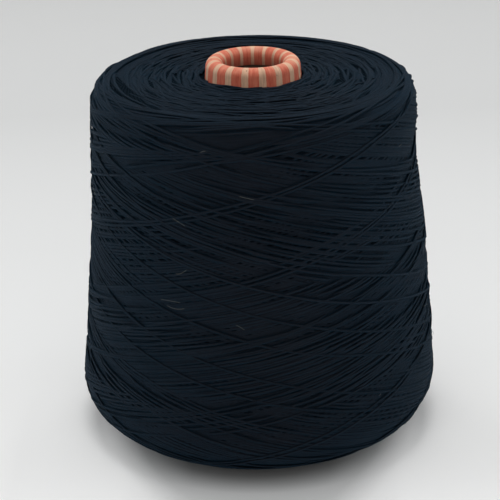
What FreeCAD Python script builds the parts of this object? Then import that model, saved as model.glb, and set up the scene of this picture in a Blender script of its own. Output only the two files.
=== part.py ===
import FreeCAD, Part
import math
import os

# A cone of yarn standing on its base: millimetres, +Z up through the nose,
# origin at the centre of the base of the paper cone.

# Paper cone
CONE_LENGTH = 170.0
CONE_TAPER_DEG = 4.0 + 20.0 / 60.0
NOSE_DIAMETER = 41.4
BORE_DIAMETER = 27.0
BOARD_WALL = 2.2
TURN_IN_DEPTH = 11.0

# Printed outer ply, glued round the cone and turned in over its nose
PLY_THICKNESS = 0.25
PLY_TURN_IN = 7.3
GLUE_GAP = 0.05

# Package of yarn: the surface that its outermost turns reach
NOSE_STANDOUT = 8.2
BASE_STANDOUT = 4.5
PACKAGE_TOP_RADIUS = 70.2
PACKAGE_BOTTOM_RADIUS = 82.7
WAIST_SAG = 1.0
SHOULDER_ROUND = 8.5
FOOT_ROUND = 20.0
UNDERSIDE_DISH_DEG = 21.0
END_FACE_RAMP = 9.0
SEAT_GAP = 0.05

# Outer layer of turns: one thread laid down and up across the package
THREAD_DIAMETER = 1.6
THREAD_REST_GAP = 0.2
CROSSING_GAP = 0.8
STRANDS = 9
REVERSAL_DEG = 20.0
LAYER_CHANGE_DEG = 11.0
TOP_REACH_DEG = 62.0
FOOT_REACH_DEG = 58.0
SPANS_PER_PASS = 6

# Tail bunch: the first turns, wound on the bare base of the cone
TAIL_TURNS = 3
TAIL_PITCH = 2.2
TAIL_BASE_MARGIN = 1.5
TAIL_LIFT_DEG = 120.0
TAIL_SPANS_PER_TURN = 6

# Least gap that the turns of one thread may leave. It is looked for on points along the
# thread, between stretches that lie further apart along it than a few diameters
LEAST_THREAD_GAP = 0.4
MEASURE_STEP = 0.8
SAME_STRETCH_DIAMETERS = 3.0

CONE_TAPER = math.radians(CONE_TAPER_DEG)
THREAD_RADIUS = THREAD_DIAMETER / 2.0
END_BEND = THREAD_DIAMETER
INNER_HEIGHT = THREAD_REST_GAP + THREAD_RADIUS
OUTER_HEIGHT = INNER_HEIGHT + THREAD_DIAMETER + CROSSING_GAP
WINDING_DEPTH = OUTER_HEIGHT + THREAD_RADIUS
TAIL_OUTER_HEIGHT = THREAD_REST_GAP + THREAD_DIAMETER + END_BEND
MEASURE_REACH = 2.0 * THREAD_DIAMETER
HEADING_STEP = 1.0e-4


def at(r, z):
    """A point of the cross-section that is turned about Z."""
    return FreeCAD.Vector(r, 0.0, z)


def polar(centre, radius, angle):
    """A point of the cross-section, by angle from +X, round a centre."""
    return at(centre.x + radius * math.cos(angle), centre.z + radius * math.sin(angle))


def arc(centre, radius, start, end):
    """An arc of the cross-section, from one angle to another."""
    middle = (start + end) / 2.0
    return Part.Arc(polar(centre, radius, start), polar(centre, radius, middle),
                    polar(centre, radius, end)).toShape()


def line(start, end):
    return Part.LineSegment(start, end).toShape()


def turned(edges):
    """The solid that a closed cross-section makes when it is turned about Z."""
    face = Part.Face(Part.Wire(edges))
    return face.revolve(FreeCAD.Vector(0, 0, 0), FreeCAD.Vector(0, 0, 1), 360.0)


def save(shape, name):
    """Writes one node, after a look at what it is."""
    if not shape.isValid():
        raise ValueError("the solid of " + name + " is not valid")
    shape.exportStep("parts/" + name + ".step")
    box = shape.optimalBoundingBox()
    print("%-14s solids %d  faces %3d  volume %9.0f  x %.2f..%.2f  y %.2f..%.2f  z %.2f..%.2f" % (
        name, len(shape.Solids), len(shape.Faces), shape.Volume,
        box.XMin, box.XMax, box.YMin, box.YMax, box.ZMin, box.ZMax))


class ConeSection:
    """Half section of the paper cone: a tapered wall that rolls in over its nose."""

    def __init__(self):
        self.bore = BORE_DIAMETER / 2.0
        nose = NOSE_DIAMETER / 2.0 - PLY_THICKNESS - GLUE_GAP
        self.roll = (nose - self.bore) / 2.0
        self.centre = at(self.bore + self.roll, CONE_LENGTH - PLY_THICKNESS - GLUE_GAP - self.roll)

    def wall_radius(self, z, proud=0.0):
        """Radius of the tapered wall at a height, with a layer of that thickness on it."""
        tangent = polar(self.centre, self.roll + proud, CONE_TAPER)
        return tangent.x + (tangent.z - z) * math.tan(CONE_TAPER)

    def skin(self, proud, turn_in):
        """Edges from the base, up the wall and over the roll, down to a depth inside the nose."""
        radius = self.roll + proud
        base = at(self.wall_radius(0.0, proud), 0.0)
        inner = polar(self.centre, radius, math.pi)
        end = at(inner.x, CONE_LENGTH - turn_in)
        return [line(base, polar(self.centre, radius, CONE_TAPER)),
                arc(self.centre, radius, CONE_TAPER, math.pi),
                line(inner, end)]


def closed_shell(outer, inner):
    """Joins two skins, one within the other, by straight ends."""
    first = line(inner[0].Vertexes[0].Point, outer[0].Vertexes[0].Point)
    last = line(outer[-1].Vertexes[-1].Point, inner[-1].Vertexes[-1].Point)
    return [first] + outer + [last] + inner[::-1]


def board_cone(cone):
    return turned(closed_shell(cone.skin(0.0, TURN_IN_DEPTH), cone.skin(-BOARD_WALL, TURN_IN_DEPTH)))


def striped_wrap(cone):
    within = GLUE_GAP
    return turned(closed_shell(cone.skin(within + PLY_THICKNESS, PLY_TURN_IN),
                               cone.skin(within, PLY_TURN_IN)))


class PackageSection:
    """Half section of the package: shoulder, waisted side and rounded foot, tangent in turn."""

    def __init__(self):
        self.top = CONE_LENGTH - NOSE_STANDOUT
        self.bottom = BASE_STANDOUT
        self.place_side()
        self.shoulder = self.round_centre(SHOULDER_ROUND, self.top - SHOULDER_ROUND)
        self.foot = self.round_centre(FOOT_ROUND, self.bottom + FOOT_ROUND)
        self.shoulder_end = self.tangent_angle(self.shoulder)
        self.foot_start = self.tangent_angle(self.foot)
        self.foot_end = -math.pi / 2.0 - math.radians(UNDERSIDE_DISH_DEG)

    def place_side(self):
        """The side is an arc that sags inwards by WAIST_SAG from a straight taper."""
        rise = self.top - self.bottom
        spread = PACKAGE_BOTTOM_RADIUS - PACKAGE_TOP_RADIUS
        half = math.hypot(rise, spread) / 2.0
        self.side_radius = (half * half + WAIST_SAG * WAIST_SAG) / (2.0 * WAIST_SAG)
        reach = self.side_radius - WAIST_SAG
        out = at(rise, spread).normalize()
        middle = at((PACKAGE_BOTTOM_RADIUS + PACKAGE_TOP_RADIUS) / 2.0, (self.top + self.bottom) / 2.0)
        self.side_centre = middle + out * reach

    def round_centre(self, radius, z):
        """Centre of a round that touches the side from within, at a known height."""
        rise = z - self.side_centre.z
        reach = math.sqrt((self.side_radius + radius) ** 2 - rise * rise)
        return at(self.side_centre.x - reach, z)

    def tangent_angle(self, centre):
        """Angle of the outward normal where a round meets the side."""
        return math.atan2(self.side_centre.z - centre.z, self.side_centre.x - centre.x)

    def on_shoulder(self, angle, inset):
        """Point and outward normal on the shoulder, by the angle of the normal."""
        return polar(self.shoulder, SHOULDER_ROUND - inset, angle), polar(at(0, 0), 1.0, angle)

    def on_foot(self, angle, inset):
        """Point and outward normal on the foot, by the angle of the normal."""
        return polar(self.foot, FOOT_ROUND - inset, angle), polar(at(0, 0), 1.0, angle)

    def on_side(self, share, inset):
        """Point and outward normal on the side, from the shoulder (0) to the foot (1)."""
        angle = self.shoulder_end + (self.foot_start - self.shoulder_end) * share
        point = polar(self.side_centre, self.side_radius + inset, angle + math.pi)
        return point, polar(at(0, 0), 1.0, angle)

    def side_edge(self, inset):
        """The side as one curve through its two ends and the corner of their tangents."""
        start, start_normal = self.on_side(0.0, inset)
        end = self.on_side(1.0, inset)[0]
        turn = abs(self.foot_start - self.shoulder_end)
        reach = (self.side_radius + inset) * math.tan(turn / 2.0)
        curve = Part.BezierCurve()
        curve.setPoles([start, start + at(start_normal.z, -start_normal.x) * reach, end])
        return curve.toShape()

    def along(self, share, inset):
        """Point and normal on the way that the thread takes: 0 on the shoulder, 1 on the foot."""
        high = math.radians(TOP_REACH_DEG)
        low = -math.radians(FOOT_REACH_DEG)
        shoulder = (high - self.shoulder_end) * SHOULDER_ROUND
        side = abs(self.foot_start - self.shoulder_end) * self.side_radius
        foot = (self.foot_start - low) * FOOT_ROUND
        way = share * (shoulder + side + foot)
        if way <= shoulder:
            return self.on_shoulder(high - way / SHOULDER_ROUND, inset)
        if way <= shoulder + side:
            return self.on_side((way - shoulder) / side, inset)
        return self.on_foot(self.foot_start - (way - shoulder - side) / FOOT_ROUND, inset)

    def underside(self, r):
        """Height of the dished underside at a radius."""
        end = self.on_foot(self.foot_end, 0.0)[0]
        return end.z + (end.x - r) * math.tan(math.radians(UNDERSIDE_DISH_DEG))


def yarn_body(cone, package):
    """The wound yarn below its outermost turns, seated on the ply, with full end faces."""
    inset = WINDING_DEPTH
    seat = PLY_THICKNESS + GLUE_GAP + SEAT_GAP
    low = underside_seat(cone, package, seat)
    face_end = package.shoulder.x - END_FACE_RAMP
    dish_end = package.foot.x - END_FACE_RAMP - FOOT_ROUND * math.cos(package.foot_end + math.pi)
    bore_top = at(cone.wall_radius(package.top, seat), package.top)
    bore_low = at(cone.wall_radius(low, seat), low)
    shoulder = arc(package.shoulder, SHOULDER_ROUND - inset, math.pi / 2.0, package.shoulder_end)
    side = package.side_edge(inset)
    foot = arc(package.foot, FOOT_ROUND - inset, package.foot_start, package.foot_end)
    corners = [polar(package.foot, FOOT_ROUND - inset, package.foot_end),
               at(dish_end, package.underside(dish_end)), bore_low, bore_top,
               at(face_end, package.top), polar(package.shoulder, SHOULDER_ROUND - inset, math.pi / 2.0)]
    faces = [line(corners[k], corners[k + 1]) for k in range(len(corners) - 1)]
    return turned([shoulder, side, foot] + faces)


def underside_seat(cone, package, proud):
    """Height at which the dished underside meets a layer of that thickness on the cone."""
    slope = math.tan(math.radians(UNDERSIDE_DISH_DEG))
    level = package.underside(cone.wall_radius(0.0, proud))
    return level / (1.0 - math.tan(CONE_TAPER) * slope)


def smooth(x):
    """Rises from 0 to 1 with level ends."""
    x = min(max(x, 0.0), 1.0)
    return x * x * (3.0 - 2.0 * x)


def swing(section_point, normal, turn):
    """Carries a point and a normal of the cross-section round the axis."""
    c, s = math.cos(turn), math.sin(turn)
    return (FreeCAD.Vector(section_point.x * c, section_point.x * s, section_point.z),
            FreeCAD.Vector(normal.x * c, normal.x * s, normal.z))


class Traverse:
    """The way of the thread over the package, by the angle that it has turned through."""

    def __init__(self, package):
        self.package = package
        self.passes = 2 * STRANDS - 1
        self.pass_angle = math.pi * (2.0 + 1.0 / STRANDS)
        self.round = math.radians(REVERSAL_DEG) / self.pass_angle

    def share(self, x):
        """Share of one pass: steady in the middle, slowing to a stop at both ends."""
        a = self.round
        if x > 0.5:
            return 1.0 - self.share(1.0 - x)
        if x < a:
            return x * x / (2.0 * a * (1.0 - a))
        return (x - a / 2.0) / (1.0 - a)

    def height(self, number, x):
        """Height of the thread over the core: down passes lie on the up passes."""
        half_change = math.radians(LAYER_CHANGE_DEG) / self.pass_angle
        own = 1.0 if number % 2 == 0 else 0.0
        blend = 1.0
        if x < half_change and number > 0:
            blend = smooth(0.5 + x / (2.0 * half_change))
        if x > 1.0 - half_change and number < self.passes - 1:
            blend = smooth(0.5 + (1.0 - x) / (2.0 * half_change))
        outer = own * blend + (1.0 - own) * (1.0 - blend)
        return INNER_HEIGHT + (OUTER_HEIGHT - INNER_HEIGHT) * outer

    def point(self, turn):
        number = min(int(turn / self.pass_angle), self.passes - 1)
        x = turn / self.pass_angle - number
        share = self.share(min(max(x, 0.0), 1.0))
        if number % 2 == 1:
            share = 1.0 - share
        inset = WINDING_DEPTH - self.height(number, x)
        place, normal = self.package.along(share, inset)
        return swing(place, normal, turn)

    def turns(self):
        """The angles where one arc pair hands over to the next."""
        bend = math.radians(REVERSAL_DEG)
        step = (self.pass_angle - 2.0 * bend) / SPANS_PER_PASS
        result = [0.0]
        for number in range(self.passes):
            start = number * self.pass_angle
            for k in range(SPANS_PER_PASS + 1):
                result.append(start + bend + k * step)
            result.append(start + self.pass_angle)
        return result


class TailBunch:
    """The way of the first turns: out of the underside, then down the bare base of the cone."""

    def __init__(self, cone, package):
        dish = math.radians(UNDERSIDE_DISH_DEG)
        self.cone = cone
        self.seat = PLY_THICKNESS + GLUE_GAP
        start = self.seat + INNER_HEIGHT / math.cos(CONE_TAPER)
        self.top = underside_seat(cone, package, start) - TAIL_OUTER_HEIGHT / math.cos(dish)
        self.bottom = max(TAIL_BASE_MARGIN + THREAD_RADIUS, self.top - TAIL_PITCH * TAIL_TURNS)
        self.total = 2.0 * math.pi * TAIL_TURNS
        self.down = at(-math.sin(dish), -math.cos(dish))

    def point(self, turn):
        z = self.top + (self.bottom - self.top) * turn / self.total
        lift = smooth((turn - self.total) / math.radians(TAIL_LIFT_DEG) + 1.0)
        height = INNER_HEIGHT + (TAIL_OUTER_HEIGHT - INNER_HEIGHT) * lift
        place = at(self.cone.wall_radius(z, self.seat + height / math.cos(CONE_TAPER)), z)
        return swing(place, polar(at(0, 0), 1.0, CONE_TAPER), turn)

    def turns(self):
        count = TAIL_TURNS * TAIL_SPANS_PER_TURN
        return [self.total * k / count for k in range(count + 1)]


def heading(way, turn):
    """Unit direction of a way at an angle."""
    ahead = way.point(turn + HEADING_STEP)[0]
    behind = way.point(turn - HEADING_STEP)[0]
    return (ahead - behind).normalize()


def tangent_arc(start, corner, end):
    """The arc that leaves start towards corner and reaches end from corner."""
    chord_middle = (start + end) * 0.5
    half = (end - start).Length / 2.0
    rise = (corner - chord_middle).Length
    side = math.hypot(half, rise)
    sagitta = half * (side - half) / rise
    middle = chord_middle + (corner - chord_middle) * (sagitta / rise)
    return Part.Arc(start, middle, end).toShape()


def biarc(start, start_way, end, end_way):
    """Two arcs from start to end that leave and arrive in the given directions."""
    gap = end - start
    both = start_way + end_way
    a = both.dot(both) - 4.0
    b = -2.0 * gap.dot(both)
    c = gap.dot(gap)
    reach = (-b - math.sqrt(b * b - 4.0 * a * c)) / (2.0 * a)
    first = start + start_way * reach
    last = end - end_way * reach
    joint = (first + last) * 0.5
    return [tangent_arc(start, first, joint), tangent_arc(joint, last, end)]


def end_piece(point, normal, way, leaving):
    """A thread's end: straight for one diameter, square to what it meets, then a bend."""
    sign = 1.0 if leaving else -1.0
    bend_end = point - normal * END_BEND - way * (END_BEND * sign)
    corner = point - way * (END_BEND * sign)
    tip = bend_end - normal * THREAD_DIAMETER
    if leaving:
        return [line(tip, bend_end), tangent_arc(bend_end, corner, point)]
    return [tangent_arc(point, corner, bend_end), line(bend_end, tip)]


def thread_wire(way, first_normal):
    """The whole way of a thread as tangent arcs between two square ends."""
    turns = way.turns()
    points = [way.point(turn) for turn in turns]
    ways = [heading(way, turn) for turn in turns]
    edges = end_piece(points[0][0], first_normal or points[0][1], ways[0], True)
    for k in range(len(turns) - 1):
        edges += biarc(points[k][0], ways[k], points[k + 1][0], ways[k + 1])
    edges += end_piece(points[-1][0], points[-1][1], ways[-1], False)
    return Part.Wire(edges)


def thread_tube(wire):
    """A round tube along a wire, from its first point to its last."""
    start = wire.OrderedVertexes[0].Point
    direction = wire.OrderedEdges[0].tangentAt(wire.OrderedEdges[0].FirstParameter)
    section = Part.Wire(Part.makeCircle(THREAD_RADIUS, start, direction))
    return wire.makePipeShell([section], True, False)


def least_gap(wire):
    """Least clear distance between two stretches of one tube, measured on points along it."""
    points = wire.discretize(Number=int(wire.Length / MEASURE_STEP))
    apart = int(math.ceil(SAME_STRETCH_DIAMETERS * THREAD_DIAMETER / MEASURE_STEP))
    cells = {}
    least = MEASURE_REACH
    for k, p in enumerate(points):
        key = [int(c // MEASURE_REACH) for c in p]
        for dx in (-1, 0, 1):
            for dy in (-1, 0, 1):
                for dz in (-1, 0, 1):
                    for other in cells.get((key[0] + dx, key[1] + dy, key[2] + dz), ()):
                        if k - other > apart:
                            least = min(least, (points[other] - p).Length)
        cells.setdefault(tuple(key), []).append(k)
    return least - THREAD_DIAMETER


def wound_thread(way, name, first_normal=None):
    """One unbroken tube along a way, with its length and its least gap to itself."""
    wire = thread_wire(way, first_normal)
    tube = thread_tube(wire)
    gap = least_gap(wire)
    bends = [edge.Curve.Radius for edge in wire.Edges if edge.Curve.TypeId == "Part::GeomCircle"]
    section = math.pi * THREAD_RADIUS ** 2
    print("%-14s length %.0f  turns %.1f  least gap to itself %.2f  tightest bend %.2f  volume share %.4f" % (
        name, wire.Length, way.turns()[-1] / (2.0 * math.pi), gap, min(bends),
        tube.Volume / (section * wire.Length)))
    if gap < LEAST_THREAD_GAP:
        print("the turns of " + name + " lie closer than %.1f mm" % LEAST_THREAD_GAP)
    return tube


def main():
    os.makedirs("parts", exist_ok=True)
    cone = ConeSection()
    package = PackageSection()
    save(board_cone(cone), "board_cone")
    save(striped_wrap(cone), "striped_wrap")
    save(yarn_body(cone, package), "yarn_body")
    save(wound_thread(Traverse(package), "outer_winding"), "outer_winding")
    tail = TailBunch(cone, package)
    save(wound_thread(tail, "tail_bunch", tail.down), "tail_bunch")


main()
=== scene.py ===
"""Dresses the cone of yarn: its wound thread, its striped paper nose and the plain stage it stands on."""

import math

import bpy
import numpy as np
from bpy.props import FloatProperty, FloatVectorProperty, IntProperty, PointerProperty
from mathutils import Matrix, Vector


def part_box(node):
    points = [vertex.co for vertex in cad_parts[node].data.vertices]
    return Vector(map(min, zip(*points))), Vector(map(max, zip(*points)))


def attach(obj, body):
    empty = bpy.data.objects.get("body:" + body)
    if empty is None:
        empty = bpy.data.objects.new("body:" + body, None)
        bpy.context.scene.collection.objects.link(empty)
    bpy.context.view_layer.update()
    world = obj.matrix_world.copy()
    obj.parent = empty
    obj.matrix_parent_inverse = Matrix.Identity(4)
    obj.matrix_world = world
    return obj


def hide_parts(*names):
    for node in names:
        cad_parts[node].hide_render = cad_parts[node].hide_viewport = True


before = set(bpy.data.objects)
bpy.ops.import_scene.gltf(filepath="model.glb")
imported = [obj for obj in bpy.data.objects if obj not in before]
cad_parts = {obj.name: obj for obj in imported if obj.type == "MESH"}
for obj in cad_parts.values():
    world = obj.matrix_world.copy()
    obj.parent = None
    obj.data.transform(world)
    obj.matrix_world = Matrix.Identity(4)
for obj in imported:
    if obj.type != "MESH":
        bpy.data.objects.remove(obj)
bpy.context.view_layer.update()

bl_info = {
    "name": "Cone of yarn",
    "version": (1, 0, 0),
    "blender": (4, 5, 0),
    "location": "View3D > Sidebar > Yarn",
    "description": "Winds the thread of a cone of yarn, prints its paper nose and sets its stage",
    "category": "Object",
}

MM = 0.001
FULL_TURN = 2.0 * math.pi
BODY = "root"
SIDE_PIECES = 6

# Grid on which the package fills up: steps round the axis, and millimetres along the outline
COLUMNS = 1536
ROW = 0.3

# Sets of strands on the side, the newest last: the turns of the package for one way up and down, how
# often the thread goes up and down, the shares of a way that the reversals at the top and at the foot
# take, the step from strand to strand in their spacings (wide steps are taken by pairs), and the turn
# at which the newest strand leaves the foot
BAND_SETS = ((3.0, 74, 0.16, 0.12, 1.0, 0.35),
             (3.0, 50, 0.12, 0.26, -1.0, 0.739),
             (4.0, 35, 0.42, 0.22, 1.0, 0.243),
             (3.0, 10, 0.22, 0.16, 7.0, 0.71))

# How strands stray: their reversals in mm, their lay in spacings, and how often a spacing is left wider
# and by which shares of itself
WANDER, STRAY = 0.35, 0.24
WIDER_CHANCE, WIDER = 0.12, (0.2, 0.7)

# Arcs on the shoulder and the end faces: the range of degrees that they span, their bow in mm, how far
# they lie askew in mm, and whether they come in even order
SHOULDER_ARCS = ((60.0, 150.0), 1.6, 0.9, True)
FACE_ARCS = ((18.0, 70.0), 2.6, 1.2, False)
BASE_ARCS = ((40.0, 150.0), 2.4, 0.9, False)

# Waves of an arc: their size in mm, and from how many to fewer than how many are in a turn. The ends of
# an arc sink in: how deep and over which reach, in mm
ARC_WAVES = ((0.40, 3, 8), (0.22, 12, 26))
SINK, SINK_REACH = 1.5, 9.0

# How thread lies on thread: the half width that rests, as a share of the width; how much the highest
# and the mean of what is below count; how widely it bends, as a share of the radius, which counts as
# 30 mm at least; and how far it spans a dip and is eased, in mm
RESTING = 0.36
HIGHEST, MEAN = 0.55, 0.45
BEND, LEAST_RADIUS = 0.22, 30.0
SPAN, EASE = 11.0, 0.9

# The radius that stands for the side where its slope is worked out, in mm
MEAN_RADIUS = 76.0

# Reach of the pressing that evens the package out, in steps of the grid
LEVEL_COLUMNS = 26
LEVEL_ROWS = 24

# How far the outline lies over the mean height of the thread, in mm, and what pressing leaves of the relief
PROUD = 1.1
PRESSED = 0.31

# The deepest and the proudest that thread may lie against the outline, and how deep the mass lies, in mm
DEEPEST = 0.85
PROUDEST = 0.22
MASS_DEPTH = 0.55

# Where the underside meets the cone, in mm, and the cone's taper
SEAT_RADIUS = 35.2
TAPER = math.radians(4.0 + 20.0 / 60.0)

# Chance forms of the package: the height in mm from which each grows, and over how many mm
HOLLOW_TOP, HOLLOW_FOOT = (146.0, 14.0), (74.0, 60.0)
LEAN_TOP, LEAN_FOOT = (142.0, 50.0), (0.0, 40.0)
WAVE_FOOT = (2.0, 20.0)

# How far the heap at the nose reaches, and above which height it lies, in mm
HEAP_REACH, HEAP_ABOVE = 4.0, 100.0

# The mass below the thread: the step along its outline, its gap to the paper, the radius from which on
# it swells with the package, all in mm, and its steps round the axis
MASS_STEP, MASS_GAP, MASS_CORE, MASS_STEPS = 2.0, 0.25, 40.0, 192

# The tail: its margins at the foot and at the top and its layers in mm, its turns, its points in a turn
TAIL_MARGINS, TAIL_LAYER = (0.6, 3.2), 0.75
TAIL_TURNS, TAIL_POINTS = 7, 72

# Lint that shows at the front: degrees from the front, height and length in mm, rise in degrees
LINT_AT_FRONT = ((-2.8, 132.2, 6.5, -13.0), (-29.0, 84.5, 9.0, 2.0), (-27.0, 82.3, 8.0, 1.0),
                 (-17.0, 151.0, 2.5, 20.0), (40.0, 36.5, 1.2, 60.0), (-5.7, 76.3, 4.0, -30.0))

# The nose in metres: radii between which its inside ends, heights over which the shade in its throat
# goes from the paper and comes to the board, heights over which its rim gets rubbed. Then the colours
# of the shade and of the flecks
NOSE_INSIDE = (0.0145, 0.0185)
PAPER_THROAT, BOARD_THROAT = (0.159, 0.1668), (0.146, 0.158)
RIM = (0.1676, 0.1699)
PAPER_SHADE, BOARD_SHADE = (0.055, 0.010, 0.005, 1.0), (0.045, 0.022, 0.014, 1.0)
PAPER_FLECK = (0.16, 0.05, 0.04, 1.0)

# Lamps: share of the power, size, place and target in metres, colour
LAMPS = {"softbox": (1.0, (0.9, 0.6), (-0.03, 0.50, 1.50), (0.0, 0.0, 0.08), (1.0, 1.0, 1.0)),
         "left_fill": (0.145, (0.7, 0.28), (-0.92, 0.42, 0.16), (0.0, 0.0, 0.10), (0.80, 0.93, 1.0)),
         "right_fill": (0.135, (0.7, 0.28), (0.92, 0.42, 0.16), (0.0, 0.0, 0.10), (0.80, 0.93, 1.0))}

BLACK = (0.0, 0.0, 0.0, 1.0)

# The blue-green sheen of the yarn
SHEEN = {"Sheen_Roughness": 0.45, "Sheen_Tint": (0.0, 0.50, 1.0, 1.0)}


# Sizes

def length_of(name, millimetres, about):
    return FloatProperty(name=name, default=millimetres * MM, unit="LENGTH", description=about)


def angle_of(name, degrees, about):
    return FloatProperty(name=name, default=math.radians(degrees), unit="ROTATION", description=about)


def share_of(name, value, about):
    return FloatProperty(name=name, default=value, min=0.0, max=1.0, subtype="FACTOR", description=about)


def count_of(name, value, about, least=0, most=1200):
    return IntProperty(name=name, default=value, min=least, max=most, description=about)


def colour_of(name, value, about):
    return FloatVectorProperty(name=name, subtype="COLOR", size=3, min=0.0, max=1.0, default=value,
                               description=about)


class PackageSettings(bpy.types.PropertyGroup):
    """The outline that the package is wound to."""
    nose_radius: length_of("Nose radius", 20.9, "Where the top face meets the paper cone")
    top_height: length_of("Top height", 161.8, "Height of the flat top face")
    bottom_height: length_of("Bottom height", 4.5, "Lowest point of the rounded foot")
    top_radius: length_of("Top radius", 70.6, "Radius of the side where it would meet the top face")
    bottom_radius: length_of("Bottom radius", 82.6, "Radius of the side where it would meet the bottom")
    waist_sag: length_of("Waist sag", 1.0, "How far the side is drawn in at its middle")
    shoulder_round: length_of("Shoulder round", 8.3, "Radius between top face and side")
    foot_round: length_of("Foot round", 18.5, "Radius between side and underside")
    nose_heap: length_of("Nose heap", 0.9, "How far the yarn is heaped up against the nose")
    dish: angle_of("Underside dish", 21.0, "Slope of the hollow underside")
    drawn_in: length_of("Drawn in", 1.9, "How far the side is drawn in below the shoulder at the right")
    lean: length_of("Lean", 0.9, "How far the lower part of the winding sits to the right of the cone")


class ThreadSettings(bpy.types.PropertyGroup):
    """The thread and the way it is laid."""
    width: length_of("Width", 1.38, "Width of the thread as it lies pressed flat")
    thickness: length_of("Thickness", 0.92, "Thickness of the thread as it lies pressed flat")
    sides: count_of("Sides", 8, "Sides of the thread's section", 4, 12)
    step: length_of("Step", 4.4, "Distance between two rings of the thread")
    face_arcs: count_of("Face arcs", 560, "Reversals that show on the top face", 20)
    base_arcs: count_of("Base arcs", 190, "Reversals that show on the underside", 20)
    seed: count_of("Seed", 21, "Start of the random draws")
    colour: colour_of("Yarn", (0.0105, 0.0114, 0.0154), "Colour of the yarn")


class LintSettings(bpy.types.PropertyGroup):
    """Pale fibres that cling to the yarn."""
    count: count_of("Count", 14, "Fibres strewn over the side")
    width: length_of("Width", 0.12, "Width of a fibre")
    stand: length_of("Stand", 0.85, "How far the middle of a fibre stands off the outline")
    seed: count_of("Seed", 3, "Start of the random draws")
    colour: colour_of("Lint", (0.20, 0.215, 0.20), "Colour of the fibres")


class NoseSettings(bpy.types.PropertyGroup):
    """The printed paper that covers the cone."""
    stripes: count_of("Stripes", 17, "Pale stripes round the cone", 1)
    stripe_share: share_of("Stripe share", 0.40, "Share of the printed width that stays pale")
    stripe_share_inside: share_of("Share inside", 0.28, "The same inside the nose")
    first_stripe: angle_of("First stripe", 10.9, "Angle from the front to the middle of a pale stripe")
    ink: colour_of("Ink", (0.70, 0.128, 0.076), "Colour of the printed stripes")
    paper: colour_of("Paper", (0.73, 0.45, 0.30), "Colour of the bare paper")
    board: colour_of("Board", (0.33, 0.27, 0.21), "Colour of the board below it")


class StageSettings(bpy.types.PropertyGroup):
    """Camera, floor and lamps."""
    distance: length_of("Distance", 751.0, "From the camera to the point it looks at")
    elevation: angle_of("Elevation", 22.7, "Height of the camera above the horizon")
    roll: angle_of("Roll", -1.15, "Tilt of the camera about its line of sight")
    aim: FloatVectorProperty(name="Aim", subtype="TRANSLATION", size=3, unit="LENGTH",
                             default=(-0.0029, 0.0, 0.0793), description="Point that the camera looks at")
    lens: FloatProperty(name="Lens", default=118.8, description="Focal length in millimetres")
    floor: colour_of("Floor", (0.83, 0.83, 0.825), "Colour of floor and backdrop")
    lamp: FloatProperty(name="Lamp", default=12.8, unit="POWER", description="Power of the softbox overhead")
    sky: FloatProperty(name="Sky", default=0.58, description="Strength of the light from all round")


# Nodes

class Nodes:
    """Adds nodes to a tree, with their values and links."""

    def __init__(self, tree):
        self.tree = tree

    def fill(self, node, inputs):
        """Sets inputs, each to a value or to the socket that feeds it."""
        for key, value in dict(inputs).items():
            if isinstance(value, bpy.types.NodeSocket):
                self.tree.links.new(value, node.inputs[key])
            else:
                node.inputs[key].default_value = value
        return node

    def give(self, node, **values):
        """Sets inputs by name, where an underscore stands for a space."""
        self.fill(node, {name.replace("_", " "): value for name, value in values.items()})

    def add(self, kind, inputs=(), **settings):
        node = self.tree.nodes.new(kind)
        for name, value in settings.items():
            setattr(node, name, value)
        return self.fill(node, inputs)

    def first(self, kind, inputs=(), **settings):
        """The first output of a new node."""
        return self.add(kind, inputs, **settings).outputs[0]

    def place(self, name, **values):
        """Puts a group of nodes in this tree, built the first time. Returns its outputs."""
        node = self.add("ShaderNodeGroup", node_tree=shared_tree(name))
        self.give(node, **values)
        return node.outputs

    def math(self, operation, *values):
        return self.first("ShaderNodeMath", enumerate(values), operation=operation)

    def plus(self, one, other):
        return self.math("ADD", one, other)

    def minus(self, one, other):
        return self.math("SUBTRACT", one, other)

    def times(self, one, other):
        return self.math("MULTIPLY", one, other)

    def vector(self, x, y, z):
        return self.first("ShaderNodeCombineXYZ", {"X": x, "Y": y, "Z": z})

    def parts(self, vector):
        return self.add("ShaderNodeSeparateXYZ", {0: vector}).outputs

    def size(self, vector):
        return self.add("ShaderNodeVectorMath", {0: vector}, operation="LENGTH").outputs["Value"]

    def here(self):
        return self.add("ShaderNodeTexCoord").outputs["Object"]

    def attribute(self, name):
        return self.add("ShaderNodeAttribute", attribute_name=name).outputs["Fac"]

    def span(self, value, low, high, to_low=0.0, to_high=1.0):
        """Carries a value from one range to another, and no further."""
        return self.first("ShaderNodeMapRange", {"Value": value, "From Min": low, "From Max": high,
                                                 "To Min": to_low, "To Max": to_high})

    def noise(self, vector, scale, detail=2.0, roughness=0.5):
        return self.add("ShaderNodeTexNoise", {"Vector": vector, "Scale": scale, "Detail": detail,
                                               "Roughness": roughness}).outputs["Fac"]

    def mix(self, share, one, other):
        """Goes from one colour to the other."""
        return self.add("ShaderNodeMix", {0: share, 6: one, 7: other}, data_type="RGBA").outputs[2]

    def shades(self, share, colour, low, high):
        """Goes from one shade of a colour to another."""
        return self.mix(share, rgba(colour, low), rgba(colour, high))

    def off_middle(self, count):
        """How far a count is from the middle between two whole numbers."""
        return self.math("ABSOLUTE", self.minus(self.math("FRACT", count), 0.5))

    def bump(self, height, distance, strength=1.0):
        return self.first("ShaderNodeBump", {"Height": height, "Distance": distance, "Strength": strength})

    def capture(self, curve, name, value):
        """Keeps a value at the points of a curve. Returns the curve and what is kept."""
        node = self.add("GeometryNodeCaptureAttribute", domain="POINT")
        node.capture_items.new("FLOAT", name)
        self.fill(node, {"Geometry": curve, name: value})
        return node.outputs[0], node.outputs[name]


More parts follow.
